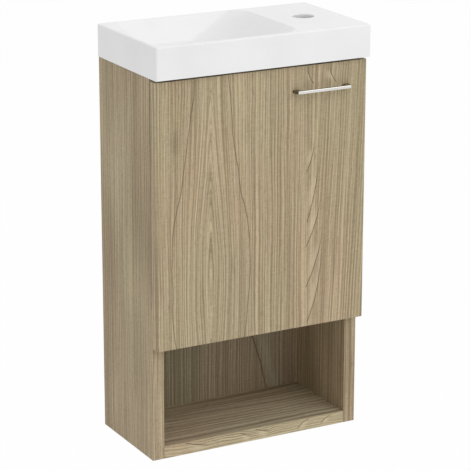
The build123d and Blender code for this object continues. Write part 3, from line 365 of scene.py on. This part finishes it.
def wood_decor(
    node, across, grain, seed, thin, figure=None, darker=0.0, comb_depth=0.085, cloud_depth=0.0, patches=1.0,
):
    """Grey-brown wood print: pin stripes that sway, long veins, soft patches, ripples and short pores."""
    finish = Finish("decor " + node)
    length = finish.along(grain)
    if figure == "arch":
        vein_width, width, half = arch_figure(finish)
        width = finish.less(width, door_lean(finish))
        layer = finish.plus(finish.times(half, 3.0), seed)
        strip = 0.0
    else:
        width = finish.along(across)
        layer = seed
        strip = finish.times(edge_strip(finish, node, thin), 0.03 if grain == LEFT_TO_RIGHT else 0.0)
    sway = finish.noise(finish.vector(finish.times(width, 9.0), finish.times(length, 7.0), layer), detail=3.0)
    sway = finish.less(sway, 0.5)
    width = finish.plus(width, finish.times(sway, finish.plus(0.006, strip)))

    def stripes(across_scale, along_scale, detail, shift=0.0):
        other_layer = finish.plus(layer, shift)
        vector = finish.vector(finish.times(width, across_scale), finish.times(length, along_scale), other_layer)
        return finish.noise(vector, detail=detail)

    broad = stripes(22.0, 1.2, 1.0)
    pin = finish.step(stripes(450.0, 2.0, 0.0, 1.7), 0.34, 0.66)
    comb = finish.plus(finish.times(width, 2 * math.pi / PIN_PERIOD), finish.times(stripes(60.0, 3.0, 0.0, 5.3), 14.0))
    comb = finish.sum_of("SINE", comb)
    fine = stripes(820.0, 6.0, 3.0, 4.1)
    ripple = stripes(110.0, 300.0, 2.0, 2.9)
    patch = finish.noise(finish.vector(finish.times(width, 12.0), finish.times(length, 4.0), 8.3), detail=3.0)
    vein = finish.line(stripes(40.0, 0.7, 1.0, 6.2), 0.5, 0.008)
    pores = finish.step(stripes(1500.0, 70.0, 1.0, 9.5), 0.58, 0.68)

    cloud = stripes(9.0, 3.0, 1.0, 12.1)

    tone = finish.plus(finish.times(broad, 0.12), finish.times(pin, 0.20))
    tone = finish.plus(tone, finish.times(comb, comb_depth))
    tone = finish.plus(tone, finish.times(finish.less(cloud, 0.5), cloud_depth))
    tone = finish.plus(tone, finish.times(fine, 0.32))
    tone = finish.plus(tone, finish.times(ripple, 0.20))
    # darker moves the step up, so the board comes out darker all over; on the niche's back and the sides this is
    # painted shade
    shade = finish.step(tone, 0.06 + darker, 0.80 + darker)
    colours = bpy.context.scene.vanity_colours
    colour = finish.mix(shade, tuple(colours.decor_dark), tuple(colours.decor_light))
    tint = finish.mix(finish.step(patch, 0.38, 0.62), tuple(colours.decor_cool), tuple(colours.decor_warm))
    colour = finish.mix(patches, colour, tint, "MULTIPLY")
    dark = finish.times(vein, 0.25)
    if figure:
        front_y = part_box(node)[0].y
        front = finish.step(finish.along((0.0, 1.0, 0.0)), front_y + 0.002, front_y + 0.003, 1.0, 0.0)
    if figure == "arch":
        upright = finish.along(UPRIGHT)
        stroke, pale = strokes(finish, finish.along(LEFT_TO_RIGHT), upright, DOOR_STROKES, sway)
        pale = finish.times(pale, finish.times(door_seam(finish), 0.55))
        for line_place in ARCH_PALE_LINES:
            pale = finish.sum_of("MAXIMUM", pale, finish.times(finish.line(width, line_place, 0.0015), 0.7))
        colour = finish.mix(finish.times(pale, front), colour, tuple(colours.decor_light))
        brown = finish.most([smudge(finish, *place) for place in SMUDGES])
        brown = finish.times(brown, finish.less(1.1, pin))
        vein_width = finish.plus(vein_width, finish.times(sway, 0.022))
        arch_vein = finish.line(vein_width, ARCH_VEIN, 0.0014)
        lines = finish.most([
            finish.times(brown, 0.34), finish.times(stroke, 0.95), finish.times(arch_vein, 0.85),
        ])
        dark = finish.sum_of("MAXIMUM", dark, finish.times(lines, front))
    if figure == "vein":
        vein_line, beside = niche_vein(finish, sway)
        colour = finish.mix(finish.times(beside, finish.times(front, 0.2)), colour, tuple(colours.decor_pale_green))
        # Painted shade: the niche's back is greyed and darkened all over
        colour = finish.mix(1.0, colour, tuple(colours.decor_niche_shade), "MULTIPLY")
        dark = finish.sum_of("MAXIMUM", dark, finish.times(vein_line, finish.times(front, 0.95)))
    if figure == "edge strokes":
        stroke, pale = strokes(finish, finish.along(UPRIGHT), finish.along(LEFT_TO_RIGHT), BASE_STROKES, sway)
        # Painted shade: all of the base but its front edge, where it forms the niche's floor, is greyed and darkened
        colour = finish.mix(finish.less(1.0, front), colour, finish.mix(1.0, colour, tuple(colours.decor_niche_shade), "MULTIPLY"))
        colour = finish.mix(finish.times(pale, finish.times(front, 0.7)), colour, tuple(colours.decor_light))
        dark = finish.sum_of("MAXIMUM", dark, finish.times(stroke, front))
    dark = finish.sum_of("MAXIMUM", dark, finish.times(pores, 0.34))
    dark = finish.sum_of("MAXIMUM", dark, finish.times(band_joint(finish, node, thin), 0.35))
    colour = finish.mix(dark, colour, tuple(colours.decor_vein))
    wear = finish.times(worn_arrises(finish, node), finish.step(broad, 0.45, 0.6, 0.10, 0.35))
    colour = finish.mix(wear, colour, tuple(colours.decor_worn))
    height = finish.plus(finish.times(fine, 0.5), finish.times(finish.less(1.0, pores), 0.5))
    finish.bump(height, 0.00006, 0.5)
    roughness = finish.plus(0.46, finish.times(pin, 0.10))
    roughness = finish.plus(roughness, finish.times(wear, 0.2))
    return finish.surface(colour, roughness, Specular_IOR_Level=0.15)


def glazed_white():
    """Satin white moulded basin: near even colour, faint ripples and a clear top layer."""
    finish = Finish("glazed white")
    cloud = finish.noise(finish.place(), 9.0, 3.0)
    grain = finish.noise(finish.place(), 900.0, 2.0)
    ripple = finish.noise(finish.place(), 38.0, 2.0)
    white = tuple(bpy.context.scene.vanity_colours.basin_white)
    shaded = tuple(part * 0.955 for part in white)
    colour = finish.mix(finish.step(cloud, 0.3, 0.7), shaded, white)
    height = finish.plus(finish.times(ripple, 0.85), finish.times(grain, 0.15))
    finish.bump(height, 0.00005, 0.4)
    roughness = finish.plus(0.28, finish.times(cloud, 0.12))
    return finish.surface(colour, roughness, Coat_Weight=0.25, Coat_Roughness=0.12)


def polished_chrome(node):
    """Chrome plate, bright on the handle's front, with a darker painted reflection of the door and painted shade on
    the top face and the legs.
    """
    finish = Finish("polished chrome")
    smear = finish.noise(finish.place(), 60.0, 3.0)
    bright = finish.mix(smear, printed(240, 238, 234), printed(252, 250, 246))
    # Painted dark reflection and shade for the handle's top face and legs
    painted_dark_reflection = finish.mix(smear, printed(112, 102, 88), printed(142, 132, 116))
    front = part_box(node)[0].y
    # Share of painted dark reflection: all but the front face's first half millimetre, which is also made rougher
    painted_reflection_share = finish.step(finish.along((0.0, 1.0, 0.0)), front + 0.0001, front + 0.0005)
    colour = finish.mix(painted_reflection_share, bright, painted_dark_reflection)
    hair = finish.noise(finish.vector(finish.along(LEFT_TO_RIGHT), finish.times(finish.along(UPRIGHT), 60.0)), 40.0)
    finish.bump(hair, 0.000001, 0.05)
    roughness = finish.plus(finish.times(smear, 0.10), finish.times(painted_reflection_share, 0.10))
    return finish.surface(colour, finish.plus(roughness, 0.05), Metallic=1.0)


def rolled_steel(name, dark, light, low, high, blotch):
    """Plated pressed steel: rolling lines, blotches and a worn sheen."""
    finish = Finish(name)
    patch = finish.noise(finish.place(), blotch, 4.0, 0.6)
    lines = finish.noise(finish.vector(finish.along((1, 1, 0)), finish.times(finish.along(UPRIGHT), 9.0)), 260.0)
    colour = finish.mix(finish.step(patch, 0.3, 0.7), dark, light)
    height = finish.plus(finish.times(lines, 0.7), finish.times(patch, 0.3))
    finish.bump(height, 0.00003, 0.5)
    roughness = finish.plus(low, finish.times(patch, high - low))
    return finish.surface(colour, roughness, Metallic=1.0)


def cast_zinc():
    """Dull die casting with a pebbled skin."""
    finish = Finish("cast zinc")
    skin = finish.noise(finish.place(), 1400.0, 3.0)
    patch = finish.noise(finish.place(), 220.0, 2.0)
    colour = finish.mix(patch, printed(146, 148, 150), printed(176, 178, 180))
    finish.bump(skin, 0.00006, 0.7)
    roughness = finish.plus(0.42, finish.times(skin, 0.2))
    return finish.surface(colour, roughness, Metallic=1.0)


def moulded_plastic():
    """White moulded housing with a fine spark-eroded texture."""
    finish = Finish("moulded white plastic")
    spark = finish.noise(finish.place(), 2200.0, 2.0)
    flow = finish.noise(finish.place(), 55.0, 3.0)
    colour = finish.mix(flow, printed(226, 226, 220), printed(240, 240, 236))
    finish.bump(spark, 0.00005, 0.6)
    roughness = finish.plus(0.38, finish.times(spark, 0.2))
    return finish.surface(colour, roughness)


def soft_rubber():
    """Clear soft door bumper, slightly cloudy."""
    finish = Finish("clear rubber")
    cloud = finish.noise(finish.place(), 700.0, 3.0)
    colour = finish.mix(cloud, printed(206, 212, 212), printed(232, 236, 236))
    finish.bump(cloud, 0.00004, 0.4)
    roughness = finish.plus(0.25, finish.times(cloud, 0.2))
    return finish.surface(colour, roughness, Transmission_Weight=0.6, IOR=1.45)


def plain_beech():
    """Pale beech with its short darker flecks."""
    finish = Finish("plain beech")
    length = finish.times(finish.along(LEFT_TO_RIGHT), 60.0)
    across = finish.times(finish.along((0, 1, 1)), 900.0)
    fleck = finish.step(finish.noise(finish.vector(length, across)), 0.55, 0.7)
    band = finish.noise(finish.vector(finish.times(length, 0.2), finish.times(across, 0.3)), 1.0, 3.0)
    colour = finish.mix(band, printed(196, 160, 116), printed(218, 186, 142))
    colour = finish.mix(finish.times(fleck, 0.5), colour, printed(150, 108, 68))
    finish.bump(fleck, 0.00005, 0.5)
    roughness = finish.plus(0.55, finish.times(fleck, 0.15))
    return finish.surface(colour, roughness)


def solid_boxes(node):
    """The lowest and highest corner of each separate solid of a node."""
    shape = bmesh.new()
    shape.from_mesh(NODES[node].data)
    bmesh.ops.remove_doubles(shape, verts=shape.verts, dist=0.000005)
    left = set(shape.verts)
    boxes = []
    for start in shape.verts:
        if start not in left:
            continue
        left.remove(start)
        reached = [start]
        for vert in reached:
            for edge in vert.link_edges:
                other = edge.other_vert(vert)
                if other in left:
                    left.remove(other)
                    reached.append(other)
        low = Vector([min(vert.co[axis] for vert in reached) for axis in range(3)])
        high = Vector([max(vert.co[axis] for vert in reached) for axis in range(3)])
        boxes.append((low, high))
    shape.free()
    return boxes


def body_with(node):
    """The name of the body that a node belongs to."""
    for body, nodes in frame["record"]["behaviour"]["bodies"].items():
        if node in nodes:
            return body
    raise ValueError("no body holds " + node)


def screw_profile(length, head_radius, shank, head):
    """Half of a screw's outline from the tip up: point, thread, neck and low domed head."""
    neck = length - head
    valley = shank * (1 - THREAD_DEPTH)
    points = [(0.0, 0.0), (shank * 0.5, THREAD_START / 2), (valley, THREAD_START)]
    height = THREAD_START
    while height + THREAD_PITCH < neck:
        points.append((shank, height + THREAD_PITCH * 0.4))
        points.append((valley, height + THREAD_PITCH * 0.8))
        height += THREAD_PITCH
    points += [(valley, neck), (head_radius, neck), (head_radius, neck + head * 0.45)]
    points += [(head_radius * 0.88, neck + head * 0.85), (head_radius * RECESS_RIM, length)]
    points += [(head_radius * RECESS_MIDDLE, length), (0.0, length)]
    return points


def in_recess(face, length):
    """Whether a face of the screw's flat top lies in the cross recess."""
    middle = face.calc_center_median()
    if middle.z < length - 0.000001:
        return False
    on_arm = abs(math.sin(2 * math.atan2(middle.y, middle.x))) < math.sin(math.radians(25))
    return len(face.verts) == 3 or on_arm


def make_screw(low, high, way, shank, head, turn):
    """One screw with a cross recess, as long and as wide as the solid between two corners."""
    size = high - low
    length = abs(size.dot(way))
    head_radius = min(size) / 2
    screw = bmesh.new()
    outline = [screw.verts.new((radius, 0.0, height)) for radius, height in
               screw_profile(length, head_radius, shank, head)]
    edges = [screw.edges.new(pair) for pair in zip(outline, outline[1:])]
    bmesh.ops.spin(
        screw, geom=outline + edges, axis=(0.0, 0.0, 1.0), cent=(0.0, 0.0, 0.0),
        angle=math.tau, steps=SCREW_SIDES, use_merge=True,
    )
    bmesh.ops.remove_doubles(screw, verts=screw.verts, dist=0.000001)
    bmesh.ops.recalc_face_normals(screw, faces=screw.faces)
    recess = [face for face in screw.faces if in_recess(face, length)]
    deeper = bmesh.ops.extrude_face_region(screw, geom=recess)["geom"]
    sunk = [item for item in deeper if isinstance(item, bmesh.types.BMVert)]
    bmesh.ops.translate(screw, verts=sunk, vec=(0.0, 0.0, -RECESS_DEPTH * head))
    bmesh.ops.scale(screw, verts=sunk, vec=(0.85, 0.85, 1.0))
    bmesh.ops.recalc_face_normals(screw, faces=screw.faces)
    aim = Vector((0.0, 0.0, 1.0)).rotation_difference(way).to_matrix().to_4x4()
    tip = (low + high) / 2 - way * length / 2
    place = Matrix.Translation(tip) @ aim @ Matrix.Rotation(turn, 4, "Z")
    bmesh.ops.transform(screw, matrix=place, verts=screw.verts)
    return screw


def replace_screws(node, way, shank, head, material):
    """Detailed screws in place of a node's plain ones, as one piece on the node's body."""
    mesh = bpy.data.meshes.new(node + "_detailed")
    together = bmesh.new()
    for count, (low, high) in enumerate(solid_boxes(node)):
        if way == "to the middle":
            inward = Vector((-math.copysign(1.0, low.x + high.x), 0.0, 0.0))
        else:
            inward = Vector(way)
        screw = make_screw(low, high, inward, shank, head, math.radians(count * RECESS_TURN))
        screw.to_mesh(mesh)
        screw.free()
        together.from_mesh(mesh)
    together.to_mesh(mesh)
    together.free()
    mesh.shade_smooth()
    mesh.set_sharp_from_angle(angle=math.radians(35))
    mesh.materials.append(material)
    piece = bpy.data.objects.new(node + "_detailed", mesh)
    bpy.context.collection.objects.link(piece)
    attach(piece, body_with(node))
    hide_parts(node)


def dress(node, material):
    """Put a material in every slot of a node."""
    mesh = NODES[node].data
    if not mesh.materials:
        mesh.materials.append(material)
    for index in range(len(mesh.materials)):
        mesh.materials[index] = material


class VanityColours(bpy.types.PropertyGroup):
    """Colours of the boards and the basin."""

    decor_dark: bpy.props.FloatVectorProperty(
        name="Decor dark", description="Darker stripes of the wood print",
        subtype="COLOR", default=printed(140, 123, 96),
    )
    decor_light: bpy.props.FloatVectorProperty(
        name="Decor light", description="Paler stripes of the wood print",
        subtype="COLOR", default=printed(208, 191, 160),
    )
    decor_cool: bpy.props.FloatVectorProperty(
        name="Decor cool", description="Greenish grey patches of the wood print",
        subtype="COLOR", default=(0.945, 0.975, 0.94),
    )
    decor_warm: bpy.props.FloatVectorProperty(
        name="Decor warm", description="Pinkish patches of the wood print",
        subtype="COLOR", default=(0.99, 0.948, 0.93),
    )
    # Painted shade: a grey tint that darkens the niche's floor and back
    decor_niche_shade: bpy.props.FloatVectorProperty(
        name="Decor grey", description="Greyer print of the niche's floor and back",
        subtype="COLOR", default=(0.90, 0.93, 1.0),
    )
    decor_pale_green: bpy.props.FloatVectorProperty(
        name="Decor pale green", description="Pale zone beside the vein of the niche's back",
        subtype="COLOR", default=printed(186, 184, 160),
    )
    decor_vein: bpy.props.FloatVectorProperty(
        name="Decor vein", description="Thin dark lines of the wood print",
        subtype="COLOR", default=printed(98, 84, 66),
    )
    decor_worn: bpy.props.FloatVectorProperty(
        name="Decor worn", description="Rubbed edges of the boards",
        subtype="COLOR", default=printed(196, 184, 160),
    )
    basin_white: bpy.props.FloatVectorProperty(
        name="Basin white", description="White of the basin",
        subtype="COLOR", default=printed(240, 240, 240),
    )


class VanityStudio(bpy.types.PropertyGroup):
    """Sizes and light of the studio."""

    floor_drop: bpy.props.FloatProperty(
        name="Floor drop", description="Height of the unit's underside above the floor",
        unit="LENGTH", default=0.5, min=0.0,
    )
    floor_size: bpy.props.FloatProperty(
        name="Floor size", description="Side of the square floor", unit="LENGTH", default=60.0, min=1.0,
    )
    sky_light: bpy.props.FloatProperty(
        name="Sky light", description="Strength of the even light from all round", default=0.80, min=0.0,
    )
    lamp_power: bpy.props.FloatProperty(
        name="Lamp power", description="Power of the large soft lamp", unit="POWER", default=30.0, min=0.0,
    )


class VANITY_OT_basin(bpy.types.Operator):
    """Finish the basin in satin white."""

    bl_idname = "vanity.basin"
    bl_label = "Basin"

    def execute(self, context):
        dress("basin", glazed_white())
        return {"FINISHED"}


class VANITY_OT_boards(bpy.types.Operator):
    """Finish the door and the boards in the wood print."""

    bl_idname = "vanity.boards"
    bl_label = "Door and boards"

    def execute(self, context):
        dress("door_panel", wood_decor("door_panel", ACROSS_FRONT, UPRIGHT, 2.0, 1, "arch"))
        # The niche's back is printed darker than the other boards: painted shade in the niche
        dress("niche_back_panel", wood_decor("niche_back_panel", ACROSS_FRONT, UPRIGHT, 11.0, 1, "vein", 0.16))
        for seed, node in ((5.0, "left_side_panel"), (7.0, "right_side_panel")):
            # The sides are printed darker than the other boards: painted shade on the faces under the basin's overhang
            dress(node, wood_decor(node, ACROSS_SIDE, UPRIGHT, seed, 0, None, 0.10, 0.075, 0.65, 0.5))
        dress("rear_hanging_rail", wood_decor("rear_hanging_rail", ACROSS_FLAT, LEFT_TO_RIGHT, 23.0, 1))
        dress("base_panel", wood_decor(
            "base_panel", ACROSS_FLAT, LEFT_TO_RIGHT, 17.0, 2, "edge strokes", -0.06, 0.13, 0.1,
        ))
        for seed, node in ((18.0, "middle_shelf"), (19.0, "cupboard_shelf"), (20.0, "front_top_rail")):
            dress(node, wood_decor(node, ACROSS_FLAT, LEFT_TO_RIGHT, seed, 2))
        return {"FINISHED"}


class VANITY_OT_handle(bpy.types.Operator):
    """Finish the bow handle in chrome."""

    bl_idname = "vanity.handle"
    bl_label = "Bow handle"

    def execute(self, context):
        dress("door_handle", polished_chrome("door_handle"))
        return {"FINISHED"}


class VANITY_OT_hinges(bpy.types.Operator):
    """Finish the concealed hinges and the shelf pins in nickel."""

    bl_idname = "vanity.hinges"
    bl_label = "Hinges and shelf pins"

    def execute(self, context):
        nickel = rolled_steel("nickel plate", printed(196, 194, 188), printed(220, 218, 212), 0.16, 0.34, 90.0)
        for node in (
            "hinge_cups", "hinge_arms", "hinge_mounting_plates", "shelf_pins",
            "upper_hinge_outer_link", "upper_hinge_inner_link",
            "lower_hinge_outer_link", "lower_hinge_inner_link",
        ):
            dress(node, nickel)
        return {"FINISHED"}


class VANITY_OT_screws(bpy.types.Operator):
    """Make the cross-head screws, and finish them, the pins and the hooks in zinc plate."""

    bl_idname = "vanity.screws"
    bl_label = "Screws, pins and hooks"

    def execute(self, context):
        zinc = rolled_steel("zinc plate", printed(178, 182, 190), printed(208, 210, 214), 0.24, 0.44, 240.0)
        for node in ("hanger_hooks", "hinge_arm_pins", "hinge_cup_pins", "cam_bolts"):
            dress(node, zinc)
        for node, (way, shank, head) in SCREWS.items():
            replace_screws(node, way, shank, head, zinc)
        return {"FINISHED"}


class VANITY_OT_joint_hardware(bpy.types.Operator):
    """Finish the cam locks, dowels, hanger housings and door bumpers."""

    bl_idname = "vanity.joint_hardware"
    bl_label = "Joint hardware"

    def execute(self, context):
        dress("cam_locks", cast_zinc())
        dress("dowels", plain_beech())
        dress("hanger_housings", moulded_plastic())
        dress("door_bumpers", soft_rubber())
        return {"FINISHED"}


def background_white(world):
    """Even light from all round, and plain white where the camera or a mirror sees the sky."""
    world.use_nodes = True
    tree = world.node_tree
    tree.nodes.clear()
    path = tree.nodes.new("ShaderNodeLightPath")
    seen = tree.nodes.new("ShaderNodeMath")
    seen.operation = "MAXIMUM"
    tree.links.new(path.outputs["Is Camera Ray"], seen.inputs[0])
    tree.links.new(path.outputs["Is Glossy Ray"], seen.inputs[1])
    clear = tree.nodes.new("ShaderNodeMath")
    clear.operation = "MAXIMUM"
    tree.links.new(seen.outputs[0], clear.inputs[0])
    tree.links.new(path.outputs["Is Transmission Ray"], clear.inputs[1])
    sky = tree.nodes.new("ShaderNodeBackground")
    sky.inputs["Strength"].default_value = bpy.context.scene.vanity_studio.sky_light
    sky.inputs["Color"].default_value = (1.0, 1.0, 1.0, 1.0)
    white = tree.nodes.new("ShaderNodeBackground")
    white.inputs["Color"].default_value = (1.0, 1.0, 1.0, 1.0)
    blend = tree.nodes.new("ShaderNodeMixShader")
    tree.links.new(clear.outputs[0], blend.inputs[0])
    tree.links.new(sky.outputs[0], blend.inputs[1])
    tree.links.new(white.outputs[0], blend.inputs[2])
    out = tree.nodes.new("ShaderNodeOutputWorld")
    tree.links.new(blend.outputs[0], out.inputs["Surface"])


def pale_floor():
    """White studio floor that shows only a faint shadow to the camera."""
    finish = Finish("pale floor")
    speck = finish.noise(finish.place(), 30.0, 3.0)
    colour = finish.mix(speck, printed(240, 240, 240), printed(248, 248, 248))
    finish.surface(colour, 0.9)
    glow = finish.node("ShaderNodeEmission")
    blend = finish.node("ShaderNodeMixShader")
    path = finish.node("ShaderNodeLightPath")
    seen = finish.times(path.outputs["Is Camera Ray"], 0.96)
    finish.feed(blend.inputs[0], seen)
    finish.feed(blend.inputs[1], finish.shader.outputs[0])
    finish.feed(blend.inputs[2], glow.outputs[0])
    out = finish.tree.nodes["Material Output"]
    finish.feed(out.inputs["Surface"], blend.outputs[0])
    return finish.material


def add_floor(studio):
    """A square floor under the unit."""
    mesh = bpy.data.meshes.new("floor")
    level = Matrix.Translation((0.0, 0.0, CAD_LOW.z - studio.floor_drop))
    square = bmesh.new()
    bmesh.ops.create_grid(square, x_segments=1, y_segments=1, size=studio.floor_size / 2, matrix=level)
    square.to_mesh(mesh)
    square.free()
    mesh.materials.append(pale_floor())
    floor = bpy.data.objects.new("floor", mesh)
    bpy.context.collection.objects.link(floor)


def add_lamp(name, place, target, power, size):
    """A square soft lamp that points at a target."""
    data = bpy.data.lights.new(name, "AREA")
    data.energy = power
    data.size = size
    lamp = bpy.data.objects.new(name, data)
    lamp.location = place
    direction = [goal - start for goal, start in zip(target, place)]
    flat = math.hypot(direction[0], direction[1])
    lamp.rotation_euler = (
        math.atan2(flat, -direction[2]), 0.0, math.atan2(direction[1], direction[0]) - math.pi / 2,
    )
    bpy.context.collection.objects.link(lamp)


def add_camera():
    """The camera at the photograph's angle."""
    data = bpy.data.cameras.new("camera")
    data.lens = CAMERA_LENS
    data.sensor_width = SENSOR_WIDTH
    camera = bpy.data.objects.new("camera", data)
    camera.location = CAMERA_PLACE
    level = Euler((math.radians(90 - CAMERA_DOWN), 0.0, math.radians(-CAMERA_TURN)))
    camera.rotation_euler = (level.to_matrix() @ Euler((0, 0, math.radians(CAMERA_ROLL))).to_matrix()).to_euler()
    bpy.context.collection.objects.link(camera)
    bpy.context.scene.camera = camera


class VANITY_OT_studio(bpy.types.Operator):
    """Set up the floor, the light and the camera."""

    bl_idname = "vanity.studio"
    bl_label = "Studio"

    def execute(self, context):
        studio = context.scene.vanity_studio
        context.scene.view_settings.view_transform = "Standard"
        context.scene.world = context.scene.world or bpy.data.worlds.new("studio")
        background_white(context.scene.world)
        add_floor(studio)
        add_lamp("key lamp", (1.4, -2.6, 2.5), (0.0, -0.1, 0.35), studio.lamp_power, 2.6)
        add_camera()
        return {"FINISHED"}


class VANITY_PT_panel(bpy.types.Panel):
    """Lists the pieces of the vanity unit."""

    bl_label = "Vanity unit"
    bl_space_type = "VIEW_3D"
    bl_region_type = "UI"
    bl_category = "Vanity"

    def draw(self, context):
        for group in (context.scene.vanity_colours, context.scene.vanity_studio):
            for name in group.__annotations__:
                self.layout.prop(group, name)
        for operator in OPERATORS:
            self.layout.operator(operator.bl_idname)


OPERATORS = (
    VANITY_OT_basin,
    VANITY_OT_boards,
    VANITY_OT_handle,
    VANITY_OT_hinges,
    VANITY_OT_screws,
    VANITY_OT_joint_hardware,
    VANITY_OT_studio,
)
CLASSES = (VanityColours, VanityStudio, *OPERATORS, VANITY_PT_panel)


def register():
    for each in CLASSES:
        bpy.utils.register_class(each)
    bpy.types.Scene.vanity_colours = bpy.props.PointerProperty(type=VanityColours)
    bpy.types.Scene.vanity_studio = bpy.props.PointerProperty(type=VanityStudio)


def unregister():
    del bpy.types.Scene.vanity_studio
    del bpy.types.Scene.vanity_colours
    for each in reversed(CLASSES):
        bpy.utils.unregister_class(each)


def main():
    """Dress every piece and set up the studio."""
    register()
    bpy.ops.vanity.basin()
    bpy.ops.vanity.boards()
    bpy.ops.vanity.handle()
    bpy.ops.vanity.hinges()
    bpy.ops.vanity.screws()
    bpy.ops.vanity.joint_hardware()
    bpy.ops.vanity.studio()


if __name__ == "__main__":
    main()
